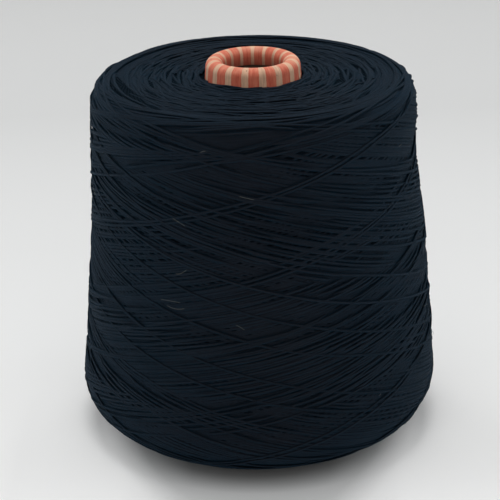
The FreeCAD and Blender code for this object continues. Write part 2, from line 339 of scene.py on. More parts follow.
def rgba(colour, share):
    """A colour for a socket, by one share or by one for each channel."""
    return (*(np.array(colour[:3]) * share), 1.0)


def add_sockets(tree, sockets, side="INPUT"):
    """Gives a group its sockets, each with its label, kind and value."""
    for label, kind, value in sockets:
        socket = tree.interface.new_socket(label, in_out=side, socket_type="NodeSocket" + kind)
        if value is not None:
            socket.default_value = value


def shader_group(name, inputs, outputs):
    """An empty group with its sockets. Returns its nodes, what it is given and its output node."""
    group = bpy.data.node_groups.new(name, "ShaderNodeTree")
    add_sockets(group, inputs)
    add_sockets(group, [(label, "Float", None) for label in outputs], "OUTPUT")
    nodes = Nodes(group)
    return nodes, nodes.add("NodeGroupInput").outputs, nodes.add("NodeGroupOutput")


def spun_fibres():
    """Fibres that run along a thread and turn slowly round it."""
    nodes, given, out = shader_group(
        "Spun fibres", (("Along", "Float", 0.0), ("Around", "Float", 0.0), ("Twist pitch", "Float", 0.007),
                        ("Fineness", "Float", 9.0)), ("Height", "Shade"))
    lead = nodes.math("DIVIDE", given["Along"], given["Twist pitch"])
    turn = nodes.times(nodes.plus(given["Around"], lead), FULL_TURN)
    where = nodes.vector(nodes.math("COSINE", turn), nodes.math("SINE", turn),
                         nodes.times(given["Along"], 45.0))
    fibre = nodes.noise(where, given["Fineness"], 3.0, 0.6)
    clump = nodes.noise(where, 1.6, 1.0)
    shade = nodes.plus(nodes.times(fibre, 0.55), nodes.times(clump, 0.45))
    nodes.give(out, Height=nodes.span(fibre, 0.3, 0.7), Shade=nodes.span(shade, 0.32, 0.68))
    return nodes.tree


def paper_fibres():
    """Fine fibres pressed into paper or board, with a few darker flecks."""
    nodes, given, out = shader_group(
        "Paper fibres", (("Vector", "Vector", None), ("Fleck scale", "Float", 420.0)),
        ("Height", "Shade", "Flecks"))
    fibre = nodes.noise(given["Vector"], 1.0, 4.0, 0.65)
    clump = nodes.noise(given["Vector"], 0.45, 3.0, 0.6)
    fleck = nodes.noise(nodes.here(), given["Fleck scale"], 2.0, 0.6)
    nodes.give(out, Height=nodes.span(fibre, 0.25, 0.75), Shade=nodes.span(clump, 0.3, 0.7),
               Flecks=nodes.span(fleck, 0.70, 0.76))
    return nodes.tree


def handling_wear():
    """Soft uneven patches where hands and boxes have rubbed."""
    nodes, given, out = shader_group(
        "Handling wear", (("Patch scale", "Float", 60.0), ("Amount", "Float", 0.5)), ("Patches",))
    patch = nodes.noise(nodes.here(), given["Patch scale"], 3.0, 0.6)
    nodes.give(out, Patches=nodes.times(nodes.span(patch, 0.38, 0.68), given["Amount"]))
    return nodes.tree


def shared_tree(name):
    return bpy.data.node_groups.get(name) or TREES[name]()


def blank_material(name):
    """A material with only its shader. Returns the material, its nodes and the shader."""
    material = bpy.data.materials.new(name)
    material.use_nodes = True
    material.node_tree.nodes.clear()
    nodes = Nodes(material.node_tree)
    shader = nodes.add("ShaderNodeBsdfPrincipled")
    nodes.add("ShaderNodeOutputMaterial", {"Surface": shader.outputs[0]})
    return material, nodes, shader


def fibres_of(nodes):
    return nodes.place("Spun fibres", Along=nodes.attribute("along"), Around=nodes.attribute("around"))


def thread_material(colour):
    """Navy yarn: twisted fibres, strands that differ a little, pale patches, flanks darkened by painted
    shade, a sheen.
    """
    material, nodes, shader = blank_material("Navy yarn")
    fibres = fibres_of(nodes)
    wear = nodes.place("Handling wear", Patch_scale=22.0, Amount=1.0)
    share = nodes.plus(nodes.times(fibres["Shade"], 0.60), nodes.times(nodes.attribute("tint"), 0.40))
    yarn = nodes.shades(share, colour, 0.50, 1.58)
    yarn = nodes.mix(nodes.times(wear["Patches"], 0.35), yarn, rgba(colour, (1.5, 1.35, 1.2)))
    # Painted shade: the flanks and underside of each thread are darkened in its colour, where shade falls
    # between threads
    painted_flank_shade = nodes.span(nodes.attribute("crest"), 0.35, 0.92, 0.90, 0.0)
    nodes.give(shader, Base_Color=nodes.mix(painted_flank_shade, yarn, rgba(colour, 0.15)),
               Roughness=nodes.span(fibres["Height"], 0.0, 1.0, 0.62, 0.82),
               Normal=nodes.bump(fibres["Height"], 0.00020, 0.9),
               Specular_IOR_Level=0.05, Sheen_Weight=0.090, **SHEEN)
    return material


def lint_material(colour):
    """Pale fibres that cling to the yarn."""
    material, nodes, shader = blank_material("Pale lint")
    fibres = fibres_of(nodes)
    nodes.give(shader, Base_Color=nodes.shades(fibres["Shade"], colour, 0.6, 1.1),
               Roughness=nodes.span(fibres["Height"], 0.0, 1.0, 0.7, 0.9), Specular_IOR_Level=0.2)
    return material


def mass_material(colour):
    """The yarn below the outermost turns: crossing rows of the same thread, darkened as painted shade."""
    material, nodes, shader = blank_material("Yarn below")
    place, angle, away, height = round_the_cone(nodes)
    run = nodes.minus(height, away)
    pitch, rows = 1.4 * MM, []
    for lean in (-0.020, 0.020):
        count = nodes.times(nodes.plus(run, nodes.times(angle, lean)), FULL_TURN / pitch)
        rows.append(nodes.span(nodes.math("SINE", count), -1.0, 1.0))
    patch = nodes.span(nodes.noise(place, 60.0, 2.0), 0.47, 0.53)
    lie = nodes.plus(nodes.times(rows[0], patch), nodes.times(rows[1], nodes.minus(1.0, patch)))
    wear = nodes.place("Handling wear", Patch_scale=90.0, Amount=0.6)
    colour = rgba(colour, (0.45, 0.85, 1.05))
    # Painted shade: the rows get dark shares of the yarn colour to stand for the shade in the gaps between
    # the outer threads
    yarn = nodes.shades(lie, colour, 0.2, 0.60)
    nodes.give(shader, Base_Color=nodes.mix(wear["Patches"], yarn, rgba(colour, 0.45)),
               Roughness=nodes.span(lie, 0.0, 1.0, 0.9, 0.75), Normal=nodes.bump(lie, 0.0004),
               Specular_IOR_Level=0.02, Sheen_Weight=0.030, **SHEEN)
    return material


def round_the_cone(nodes):
    """The place, and its angle from the front, distance from the axis and height, in radians and metres."""
    place = nodes.here()
    x, y, height = nodes.parts(place)
    angle = nodes.math("ARCTAN2", x, nodes.times(y, -1.0))
    return place, angle, nodes.size(nodes.vector(x, y, 0.0)), height


def printed_material(nose):
    """Paper printed with broad stripes, shaded in the throat and rubbed pale on the rim."""
    material, nodes, shader = blank_material("Striped paper")
    place, angle, away, height = round_the_cone(nodes)
    up_and_over = nodes.vector(nodes.times(nodes.math("SINE", angle), 46.0),
                               nodes.times(nodes.math("COSINE", angle), 46.0),
                               nodes.times(nodes.minus(away, height), 260.0))
    fibres = nodes.place("Paper fibres", Vector=up_and_over, Fleck_scale=520.0)
    wear = nodes.place("Handling wear", Patch_scale=110.0, Amount=1.0)
    inside = nodes.span(away, *NOSE_INSIDE, 1.0, 0.0)
    share = nodes.first("ShaderNodeMix", {0: inside, 2: nose.stripe_share, 3: nose.stripe_share_inside},
                        data_type="FLOAT")
    ragged = nodes.times(nodes.minus(nodes.noise(place, 900.0, 2.0), 0.5), 0.05)
    count = nodes.plus(nodes.math("DIVIDE", nodes.minus(angle, nose.first_stripe), FULL_TURN / nose.stripes),
                       nodes.plus(ragged, nose.stripes + 0.5))
    inked = nodes.span(nodes.minus(nodes.off_middle(count), nodes.times(share, 0.5)), -0.015, 0.015)
    paper = nodes.shades(fibres["Shade"], nose.paper, 0.82, 1.12)
    ink = nodes.shades(fibres["Shade"], nose.ink, 0.84, (1.06, 1.7, 1.7))
    shaded = nodes.times(inside, nodes.span(height, *PAPER_THROAT, 1.0, 0.0))
    printed = nodes.mix(shaded, nodes.mix(inked, paper, ink), PAPER_SHADE)
    rubbed = nodes.times(nodes.times(nodes.span(height, *RIM), wear["Patches"]), 0.45)
    printed = nodes.mix(rubbed, printed, rgba(nose.paper, 1.15))
    nodes.give(shader, Base_Color=nodes.mix(nodes.times(fibres["Flecks"], 0.7), printed, PAPER_FLECK),
               Roughness=nodes.span(fibres["Height"], 0.0, 1.0, 0.72, 0.9),
               Normal=nodes.bump(fibres["Height"], 0.00016, 0.8), Specular_IOR_Level=0.3)
    return material


def board_material(nose):
    """Grey board: pressed fibres, flecks, and the seam where its strip winds round."""
    material, nodes, shader = blank_material("Grey board")
    place, angle, _, height = round_the_cone(nodes)
    stretched = nodes.first("ShaderNodeMapping", {"Vector": place, "Scale": (500.0, 500.0, 900.0)})
    fibres = nodes.place("Paper fibres", Vector=stretched, Fleck_scale=300.0)
    wear = nodes.place("Handling wear", Patch_scale=45.0, Amount=0.6)
    lead = nodes.plus(nodes.math("DIVIDE", height, 0.055), nodes.math("DIVIDE", angle, FULL_TURN))
    seam = nodes.span(nodes.off_middle(lead), 0.002, 0.012, 1.0, 0.0)
    board = nodes.shades(fibres["Shade"], nose.board, 0.75, 1.2)
    board = nodes.mix(wear["Patches"], board, rgba(nose.board, 0.8))
    board = nodes.mix(nodes.times(seam, 0.6), board, rgba(nose.board, 0.4))
    board = nodes.mix(nodes.span(height, *BOARD_THROAT, 0.0, 0.85), board, BOARD_SHADE)
    board = nodes.mix(nodes.times(fibres["Flecks"], 0.6), board, rgba(nose.board, 0.3))
    nodes.give(shader, Base_Color=board, Roughness=nodes.span(fibres["Height"], 0.0, 1.0, 0.85, 0.95),
               Normal=nodes.bump(nodes.minus(fibres["Height"], seam), 0.0002, 0.8),
               Specular_IOR_Level=0.25)
    return material


def yarn_material(scene):
    made = bpy.data.materials.get("Navy yarn")
    return made or thread_material(scene.yarn_thread.colour)


# Outline of the package

def straight(start, end):
    start, end = np.array(start, float), np.array(end, float)
    count = max(2, int(np.hypot(*(end - start)) / ROW))
    return start + (end - start) * np.linspace(0.0, 1.0, count)[:, None]


def arc(centre, radius, start, end):
    turn = np.linspace(start, end, max(3, int(abs(end - start) * radius / ROW)))
    return np.stack((centre[0] + radius * np.cos(turn), centre[1] + radius * np.sin(turn)), axis=1)


def touching(waist, bend, radius, height):
    """Centre of a round of that radius and height that touches the drawn-in side."""
    rise = height - waist[1]
    return np.array((waist[0] - math.sqrt((bend + radius) ** 2 - rise * rise), height))


def run_of(steps):
    """How far each point is from the first, by the steps between them."""
    return np.concatenate(([0.0], np.cumsum(steps)))


class Outline:
    """Half section of the package, from the nose over the side to the base, by its length in mm."""

    def __init__(self, package):
        nose, top, bottom, top_radius, bottom_radius, sag, shoulder_round, foot_round = (
            getattr(package, name) / MM for name in (
                "nose_radius", "top_height", "bottom_height", "top_radius", "bottom_radius", "waist_sag",
                "shoulder_round", "foot_round"))
        rise, spread = top - bottom, bottom_radius - top_radius
        half = math.hypot(rise, spread) / 2.0
        bend = (half * half + sag * sag) / (2.0 * sag)
        out = np.array((rise, spread)) / (2.0 * half)
        middle = np.array(((bottom_radius + top_radius) / 2.0, (top + bottom) / 2.0))
        waist = middle + out * (bend - sag)
        shoulder = touching(waist, bend, shoulder_round, top - shoulder_round)
        foot = touching(waist, bend, foot_round, bottom + foot_round)
        high, low = (math.atan2(*(waist - centre)[::-1]) for centre in (shoulder, foot))
        under = -math.pi / 2.0 - package.dish
        end = foot + foot_round * np.array((math.cos(under), math.sin(under)))
        dish = (SEAT_RADIUS, end[1] + (end[0] - SEAT_RADIUS) * math.tan(package.dish))
        pieces = (straight((nose, top), (shoulder[0], top)),
                  arc(shoulder, shoulder_round, math.pi / 2.0, high),
                  arc(waist, bend, high + math.pi, low + math.pi),
                  arc(foot, foot_round, low, under),
                  straight(end, dish))
        ends = np.cumsum([np.hypot(*np.diff(piece, axis=0).T).sum() for piece in pieces])
        self.end_of_face, self.end_of_shoulder, self.end_of_side, self.end_of_foot, self.end = ends
        self.way = np.concatenate([pieces[0]] + [piece[1:] for piece in pieces[1:]])
        self.length = run_of(np.hypot(*np.diff(self.way, axis=0).T))
        tangent = np.gradient(self.way, self.length, axis=0)
        tangent /= np.hypot(*tangent.T)[:, None]
        self.normal = np.stack((-tangent[:, 1], tangent[:, 0]), axis=1)

    def radius(self, s):
        return np.interp(s, self.length, self.way[:, 0])

    def point(self, s, depth=0.0):
        """Distance from the axis and height, some way below the outline, and the normal there."""
        r, z = (np.interp(s, self.length, self.way[:, k]) for k in (0, 1))
        nr, nz = (np.interp(s, self.length, self.normal[:, k]) for k in (0, 1))
        size = np.hypot(nr, nz)
        return r - nr / size * depth, z - nz / size * depth, nr / size, nz / size


def grown(value, start, reach):
    """Share from 0 to 1 that grows from a start on, over some reach."""
    return np.clip((value - start) / reach, 0.0, 1.0)


def eased_in(share):
    return share * share * (3.0 - 2.0 * share)


def swell(package, phi, r, z):
    """How far the package stands out of its round outline, in mm.

    It leans to the right, is drawn in at the right above that, is heaped up at the nose and has waves.
    """
    hollow = eased_in(grown(-z, -HOLLOW_TOP[0], HOLLOW_TOP[1])) * eased_in(grown(z, *HOLLOW_FOOT))
    hollow = package.drawn_in / MM * hollow * np.clip(np.cos(phi), 0.0, 1.0) ** 2
    lean = eased_in(grown(-z, -LEAN_TOP[0], LEAN_TOP[1])) * grown(z, *LEAN_FOOT)
    away = np.clip((r - package.nose_radius / MM) / HEAP_REACH, 0.0, None)
    heap = package.nose_heap / MM * np.exp(-away * away) * (z > HEAP_ABOVE)
    heap = heap * (1.0 + 0.25 * np.sin(5.0 * phi + 0.4) + 0.20 * np.sin(9.0 * phi + 2.0))
    waves = 0.20 * np.sin(2.0 * phi + 0.6 + z * 0.02) + 0.15 * np.sin(3.0 * phi - 1.1 - z * 0.03)
    return package.lean / MM * lean * np.cos(phi) - hollow + waves * grown(z, *WAVE_FOOT) + heap


def around(r, phi, z):
    """Places in space, from distance from the axis, angle and height."""
    return np.stack((r * np.cos(phi), r * np.sin(phi), z), axis=1)


def on_package(package, line, phi, s, proud):
    """Points that stand so many mm off the package's surface, and the normals there."""
    r, z, nr, nz = line.point(s)
    stand = swell(package, phi, r, z) + proud
    return around(r + nr * stand, phi, z + nz * stand), around(nr, phi, nz)


# Laying the thread

def eased(values, reach):
    """A running mean, with the ends held."""
    kernel = np.hanning(2 * reach + 3)
    padded = np.pad(values, reach + 1, mode="edge")
    return np.convolve(padded, kernel / kernel.sum(), mode="valid")


def held(depth):
    """Keeps the depth of laid thread below the outline within bounds."""
    sunk = DEEPEST * (1.0 - np.exp(-depth / DEEPEST))
    return np.where(depth > 0.0, sunk, PROUDEST * np.tanh(depth / PROUDEST))


class Winding:
    """The package as it fills up: how high thread lies on each cell of its surface, in mm."""

    def __init__(self, package, thread):
        self.package = package
        self.outline = Outline(package)
        self.width = thread.width / MM
        self.thickness = thread.thickness / MM
        self.step = thread.step / MM
        self.rng = np.random.default_rng(thread.seed)
        self.rows = int(self.outline.end / ROW) + 1
        self.height = np.zeros((COLUMNS, self.rows), np.float32)
        self.turn = FULL_TURN / COLUMNS

    def drape(self, rest, s):
        """A taut thread spans the dips between what holds it up."""
        radius = float(np.mean(self.outline.radius(s)))
        step = radius * self.turn
        bend = BEND * max(radius, LEAST_RADIUS)
        reach = int(SPAN / step)
        padded = np.pad(rest, reach, mode="edge")
        result = rest.copy()
        for k in range(1, reach + 1, 2):
            drop = (k * step) ** 2 / (2.0 * bend)
            result = np.maximum(result, padded[reach - k:len(padded) - reach - k] - drop)
            result = np.maximum(result, padded[reach + k:len(padded) - reach + k] - drop)
        return eased(result, max(1, int(EASE / step)))

    def lay(self, columns, s, sink=0.0):
        """Lays a stretch on what is there. Returns the height of its underside."""
        slope = np.gradient(s) / (self.outline.radius(s) * self.turn)
        reach = int(math.ceil(self.width / 2.0 / ROW / 0.9))
        rows = np.rint(s / ROW).astype(int)[:, None] + np.arange(-reach, reach + 1)
        rows = np.clip(rows, 0, self.rows - 1)
        column = (columns % COLUMNS)[:, None]
        aside = (rows * ROW - s[:, None]) * np.cos(np.arctan(slope))[:, None]
        under = self.height[column, rows]
        below = np.abs(aside) <= RESTING * self.width
        high = np.where(below, under, 0.0).max(axis=1)
        mean = (under * below).sum(axis=1) / np.maximum(below.sum(axis=1), 1)
        height = self.drape(HIGHEST * high + MEAN * mean, s) - sink
        share = 1.0 - (aside / (self.width / 2.0)) ** 2
        top = height[:, None] + self.thickness * np.sqrt(np.clip(share, 0.0, 1.0))
        self.height[column, rows] = np.where(share > 0.0, np.maximum(under, top), under)
        return height

    def press(self):
        """Works out which height becomes the outline: the local mean of the thread, and a little more."""
        along = np.hanning(2 * LEVEL_COLUMNS + 1)
        along /= along.sum()
        padded = np.pad(self.height, ((LEVEL_COLUMNS, LEVEL_COLUMNS), (0, 0)), mode="wrap")
        spectrum = np.fft.rfft(padded, axis=0) * np.fft.rfft(along, len(padded))[:, None]
        mean = np.fft.irfft(spectrum, len(padded), axis=0)[2 * LEVEL_COLUMNS:]
        across = np.hanning(2 * LEVEL_ROWS + 1)
        across /= across.sum()
        padded = np.pad(mean, ((0, 0), (LEVEL_ROWS, LEVEL_ROWS)), mode="edge")
        self.level = PROUD + sum(share * padded[:, k:k + self.rows] for k, share in enumerate(across))

    def in_space(self, columns, s, height):
        """The middle line of a laid stretch in space, in even steps, with the normals it lies on."""
        phi = columns * self.turn
        radius = self.outline.radius(s)
        length = run_of(np.hypot(np.diff(phi) * (radius[1:] + radius[:-1]) / 2.0, np.diff(s)))
        step = self.step * min(1.0, 0.45 + float(np.mean(radius)) / 110.0)
        even = np.linspace(0.0, length[-1], max(3, int(round(length[-1] / step)) + 1))
        phi, s, height = (np.interp(even, length, values) for values in (phi, s, height))
        cell = np.rint(phi / self.turn).astype(int) % COLUMNS
        reach = self.level[cell, np.clip(np.rint(s / ROW).astype(int), 0, self.rows - 1)]
        depth = held((reach - height - self.thickness / 2.0) * PRESSED)
        return on_package(self.package, self.outline, phi, s, -depth)


def pass_share(x, start_round, end_round):
    """Share of the way across, steady between two rounded reversals."""
    steady = 1.0 - (start_round + end_round) / 2.0
    left = 1.0 - x
    rising = x * x / (2.0 * start_round)
    ending = steady - left * left / (2.0 * end_round)
    way = np.where(x < start_round, rising, np.where(left < end_round, ending, x - start_round / 2.0))
    return way / steady


def wind_side(winding):
    """Sets of strands go up and down the side, each set over the ones before."""
    rng = winding.rng
    passes, laid = [], 0.0
    total = sum(turns * cycles for turns, cycles, *_ in BAND_SETS)
    for turns, cycles, top_share, foot_share, stride, newest in BAND_SETS:
        top, foot, spacing, waves = band_lay(winding, turns, top_share, foot_share)
        low, joined = foot, False
        whole = turns * COLUMNS + stride * spacing
        apart = (stride - math.copysign(1.0, stride)) * spacing
        column = newest * COLUMNS - (cycles - 1) * whole
        drifts = [(rng.uniform(1.0, 3.0), rng.uniform(15.0, 40.0), rng.uniform(0.0, 6.3)) for _ in range(2)]
        for count in range(cycles):
            ends = [end + rng.normal(0.0, WANDER) + size * math.sin(FULL_TURN * count / period + phase)
                    for end, (size, period, phase) in zip((top, foot), drifts)]
            own = waves + [(rng.uniform(0.10, 0.30), rng.integers(4, 9), rng.uniform(0.0, 6.3))]
            skip = rng.uniform(*WIDER) * spacing if rng.random() < WIDER_CHANCE else 0.0
            skip += apart * (rng.uniform(0.6, 1.4) if count % 2 else -1.0)
            middle = column + whole / 2.0 + rng.normal(0.0, STRAY) * spacing
            last = column + whole + skip + rng.normal(0.0, STRAY) * spacing
            tint = rng.random()
            for first, end, a, b, rounds in ((column, middle, low, ends[0], (foot_share, top_share)),
                                             (middle, last, ends[0], ends[1], (top_share, foot_share))):
                columns, s = crossing(winding, first, end, a, b, rounds, own)
                passes.append((columns, s, winding.lay(columns, s), tint, laid / total, joined))
                joined = True
            column, low = last, ends[1]
            laid += turns
    return passes


def band_lay(winding, turns, top_share, foot_share):
    """How a set lies: its reversals in mm, the shift from strand to strand in columns, its waves."""
    rng, line = winding.rng, winding.outline
    top = line.end_of_face + rng.uniform(-2.0, 4.0)
    low = line.end_of_side + rng.uniform(0.60, 0.82) * (line.end_of_foot - line.end_of_side)
    steady = 1.0 - (top_share + foot_share) / 2.0
    slope = (low - top) / (turns * math.pi * MEAN_RADIUS) / steady
    spacing = rng.uniform(1.20, 1.34) * winding.width
    shift = spacing / math.sin(math.atan(slope)) / MEAN_RADIUS / winding.turn
    waves = [(rng.uniform(0.2, 0.8), rng.integers(2, 5), rng.uniform(0.0, 6.3)) for _ in range(2)]
    return top, low, shift, waves


def crossing(winding, first, last, s_first, s_last, rounds, waves):
    """One way across the package: its columns and its place on the outline at each."""
    columns = np.arange(int(round(first)), int(round(last)) + 1)
    x = (columns - columns[0]) / (len(columns) - 1.0)
    s = s_first + (s_last - s_first) * pass_share(x, *rounds)
    hold = np.clip(np.minimum(x, 1.0 - x) * 12.0, 0.0, 1.0)
    for size, count, phase in waves:
        s = s + size * hold * np.sin(count * columns * winding.turn + phase)
    return columns, s


def wind_arcs(winding, count, first, last, spans, bow, askew, in_order):
    """Reversals that show on an end face: arcs that come up out of the package and go back."""
    rng, line = winding.rng, winding.outline
    arcs = []
    places = np.linspace(first, last, count)
    if not in_order:
        rng.shuffle(places)
    for s_mid in places:
        s_mid = s_mid + rng.normal(0.0, 0.5)
        radius = float(line.radius(np.clip(s_mid, 0.0, line.end)))
        span = math.radians(rng.uniform(*spans))
        start = int(rng.integers(0, COLUMNS))
        columns = np.arange(start, start + int(span / winding.turn))
        x = np.linspace(-1.0, 1.0, len(columns))
        sag = rng.uniform(0.1, 1.0) * bow
        lean = rng.normal(0.0, askew)
        s = s_mid + sag * (x * x - 0.4) + lean * x
        for size, low, high in ARC_WAVES:
            wave = columns * winding.turn * rng.integers(low, high) + rng.uniform(0.0, FULL_TURN)
            s = s + rng.uniform(0.3, 1.0) * size * np.sin(wave)
        s = np.clip(s, 0.5 * winding.width, line.end - 0.5 * winding.width)
        near = (1.0 - np.abs(x)) * span * radius / 2.0
        sink = SINK * (1.0 - np.clip(near / SINK_REACH, 0.0, 1.0)) ** 2
        arcs.append((columns, s, winding.lay(columns, s, sink), rng.random()))
    return arcs


def route_mesh(name, route):
    """A line mesh along the stretches of a route, that carries each point's normal and tint.

    A stretch that is joined repeats the last point of the one before, and goes on from there.
    """
    points, normals, tints, edges, count = [], [], [], [], 0
    for places, up, tint, joined in route:
        points.append(places[int(joined):])
        normals.append(up[int(joined):])
        tints.append(np.full(len(points[-1]), tint))
        index = np.arange(count, count + len(points[-1]) - 1)
        edges.append(np.stack((index, index + 1), axis=1))
        if joined:
            edges.append(np.array(((count - 1, count),)))
        count += len(points[-1])
    data = bpy.data.meshes.new(name)
    edges = np.concatenate(edges)
    data.vertices.add(count)
    data.edges.add(len(edges))
    data.vertices.foreach_set("co", (np.concatenate(points) * MM).astype(np.float32).ravel())
    data.edges.foreach_set("vertices", edges.astype(np.int32).ravel())
    for label, kind, field, values in (("lay_normal", "FLOAT_VECTOR", "vector", normals),
                                       ("tint", "FLOAT", "value", tints)):
        layer = data.attributes.new(label, kind, "POINT")
        layer.data.foreach_set(field, np.concatenate(values).astype(np.float32).ravel())
    data.update()
    return data


# Thread from its route

def thread_tree():
    """Geometry nodes that lay a flattened thread along a route."""
    tree = bpy.data.node_groups.new("Laid thread", "GeometryNodeTree")
    add_sockets(tree, (("Route", "Geometry", None), ("Width", "Float", 0.0013),
                       ("Thickness", "Float", 0.0007), ("Sides", "Int", 6), ("Unevenness", "Float", 0.1),
                       ("Seed", "Float", 0.0), ("Yarn", "Material", None)))
    add_sockets(tree, (("Thread", "Geometry", None),), "OUTPUT")
    nodes = Nodes(tree)
    given = nodes.add("NodeGroupInput").outputs
    curve = nodes.first("GeometryNodeMeshToCurve", {"Mesh": given["Route"]})
    up = nodes.add("GeometryNodeInputNamedAttribute", {"Name": "lay_normal"},
                   data_type="FLOAT_VECTOR").outputs["Attribute"]
    curve = nodes.first("GeometryNodeSetCurveNormal", {"Curve": curve, "Normal": up}, mode="FREE")
    place = nodes.first("GeometryNodeInputPosition")
    uneven = nodes.first("ShaderNodeTexNoise", {"Vector": place, "W": given["Seed"], "Scale": 70.0},
                         noise_dimensions="4D")
    spread = nodes.times(nodes.minus(uneven, 0.5), given["Unevenness"])
    curve = nodes.first("GeometryNodeSetCurveRadius", {"Curve": curve, "Radius": nodes.plus(spread, 1.0)})
    length = nodes.add("GeometryNodeSplineParameter").outputs["Length"]
    curve, along = nodes.capture(curve, "Run", length)
    section = nodes.first("GeometryNodeCurvePrimitiveCircle", {"Resolution": given["Sides"], "Radius": 0.5})
    flat_up = nodes.vector(0.0, 0.0, nodes.math("DIVIDE", math.pi, given["Sides"]))
    section = nodes.first("GeometryNodeTransform", {"Geometry": section, "Rotation": flat_up})
    flattened = nodes.vector(given["Thickness"], given["Width"], 1.0)
    section = nodes.first("GeometryNodeTransform", {"Geometry": section, "Scale": flattened})
    factor = nodes.add("GeometryNodeSplineParameter").outputs["Factor"]
    section, turn = nodes.capture(section, "Turn", factor)
    outward = nodes.parts(nodes.first("GeometryNodeInputPosition"))[0]
    crest = nodes.math("DIVIDE", nodes.times(outward, 2.0), given["Thickness"])
    section, crest = nodes.capture(section, "Crest", crest)
    tube = nodes.first("GeometryNodeCurveToMesh", {"Curve": curve, "Profile Curve": section,
                                                   "Fill Caps": True})
    for label, value in (("along", along), ("around", turn), ("crest", crest)):
        tube = nodes.first("GeometryNodeStoreNamedAttribute", {"Geometry": tube, "Name": label,
                                                               "Value": value},
                           data_type="FLOAT", domain="POINT")
    tube = nodes.first("GeometryNodeSetShadeSmooth", {"Geometry": tube})
    tube = nodes.first("GeometryNodeRealizeInstances", {"Geometry": tube})
    tube = nodes.first("GeometryNodeSetMaterial", {"Geometry": tube, "Material": given["Yarn"]})
    nodes.add("NodeGroupOutput", {0: tube})
    return tree


def thread_object(name, route, width, thickness, sides, unevenness, seed, material):
    """A plain mesh object of thread along a route, from the geometry nodes."""
    holder = bpy.data.objects.new(name, route_mesh(name + "_route", route))
    bpy.context.scene.collection.objects.link(holder)
    tree = shared_tree("Laid thread")
    values = {"Width": width, "Thickness": thickness, "Sides": sides, "Unevenness": unevenness,
              "Seed": float(seed), "Yarn": material}
    modifier = holder.modifiers.new("Nodes", "NODES")
    modifier.node_group = tree
    for item in tree.interface.items_tree:
        if item.name in values:
            modifier[item.identifier] = values[item.name]
    graph = bpy.context.evaluated_depsgraph_get()
    made = bpy.data.meshes.new_from_object(holder.evaluated_get(graph), preserve_all_data_layers=True,
                                           depsgraph=graph)
    holder.modifiers.clear()
    holder.data = made
    made.name = name
    return holder


def thread_piece(name, route, scene, replaced, seed):
    """Turns a route into a piece of thread on the cone."""
    thread = scene.yarn_thread
    piece = thread_object(name, route, thread.width, thread.thickness, thread.sides, 0.16, seed,
                          yarn_material(scene))
    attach(piece, BODY)
    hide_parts(replaced)


def mesh_object(name, points, faces, material):
    """A smooth mesh object in the scene."""
    data = bpy.data.meshes.new(name)
    data.from_pydata(points, [], faces)
    data.polygons.foreach_set("use_smooth", np.ones(len(faces), bool))
    data.materials.append(material)
    data.update()
    piece = bpy.data.objects.new(name, data)
    bpy.context.scene.collection.objects.link(piece)
    return piece


def wrap_radius(z):
    """Radius of the paper on the cone at a height, in mm."""
    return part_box("striped_wrap")[1].x / MM - z * math.tan(TAPER)


# Operators

class YARN_OT_wind_package(bpy.types.Operator):
    """Lays the outermost thread on the side, the top face and the underside"""
    bl_idname = "yarn.wind_package"
    bl_label = "Wind the package"

    def execute(self, context):
        scene = context.scene
        thread = scene.yarn_thread
        winding = Winding(scene.yarn_package, thread)
        line = winding.outline
        shoulder = wind_arcs(winding, thread.face_arcs // 4, line.end_of_face - 12.0,
                             line.end_of_shoulder - 2.0, *SHOULDER_ARCS)
        face = wind_arcs(winding, thread.face_arcs, 0.6, line.end_of_face + 2.0, *FACE_ARCS)
        base = wind_arcs(winding, thread.base_arcs, line.end_of_foot - 14.0, line.end - 1.0, *BASE_ARCS)
        side = wind_side(winding)
        winding.press()
        for name, arcs in (("top_face_thread", shoulder + face), ("underside_thread", base)):
            route = [(*winding.in_space(*laid), tint, False) for *laid, tint in arcs]
            thread_piece(name, route, scene, "outer_winding", thread.seed)
        for part in range(SIDE_PIECES):
            route = []
            for *laid, tint, share, joined in side:
                if int(share * SIDE_PIECES) == part:
                    route.append((*winding.in_space(*laid), tint, joined and len(route) > 0))
            thread_piece("crosswound_thread_%d" % (part + 1), route, scene, "outer_winding", part)
        return {"FINISHED"}


class YARN_OT_fill_package(bpy.types.Operator):
    """Makes the mass of yarn below the outermost thread"""
    bl_idname = "yarn.fill_package"
    bl_label = "Fill the package"

    def execute(self, context):
        scene = context.scene
        line = Outline(scene.yarn_package)
        s = np.concatenate((np.arange(0.0, line.end, MASS_STEP), [line.end]))
        r, z, _, _ = line.point(s, MASS_DEPTH)
        ends = np.array((z[-1], z[0]))
        r = np.concatenate((r, wrap_radius(ends) + MASS_GAP))
        z = np.concatenate((z, ends))
        rings = []
        for phi in np.arange(MASS_STEPS) * FULL_TURN / MASS_STEPS:
            stand = swell(scene.yarn_package, phi, r, z) * (r > MASS_CORE)
            rings.append(around(r + stand, phi, z) * MM)
        here = np.arange(MASS_STEPS * len(r)).reshape(MASS_STEPS, len(r))
        beside = np.roll(here, -1, axis=0)
        corners = (here, np.roll(here, -1, axis=1), np.roll(beside, -1, axis=1), beside)
        faces = np.stack(corners, axis=2).reshape(-1, 4).tolist()
        material = mass_material(scene.yarn_thread.colour)
        piece = mesh_object("yarn_mass", np.concatenate(rings).tolist(), faces, material)
        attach(piece, BODY)
        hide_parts("yarn_body")
        return {"FINISHED"}


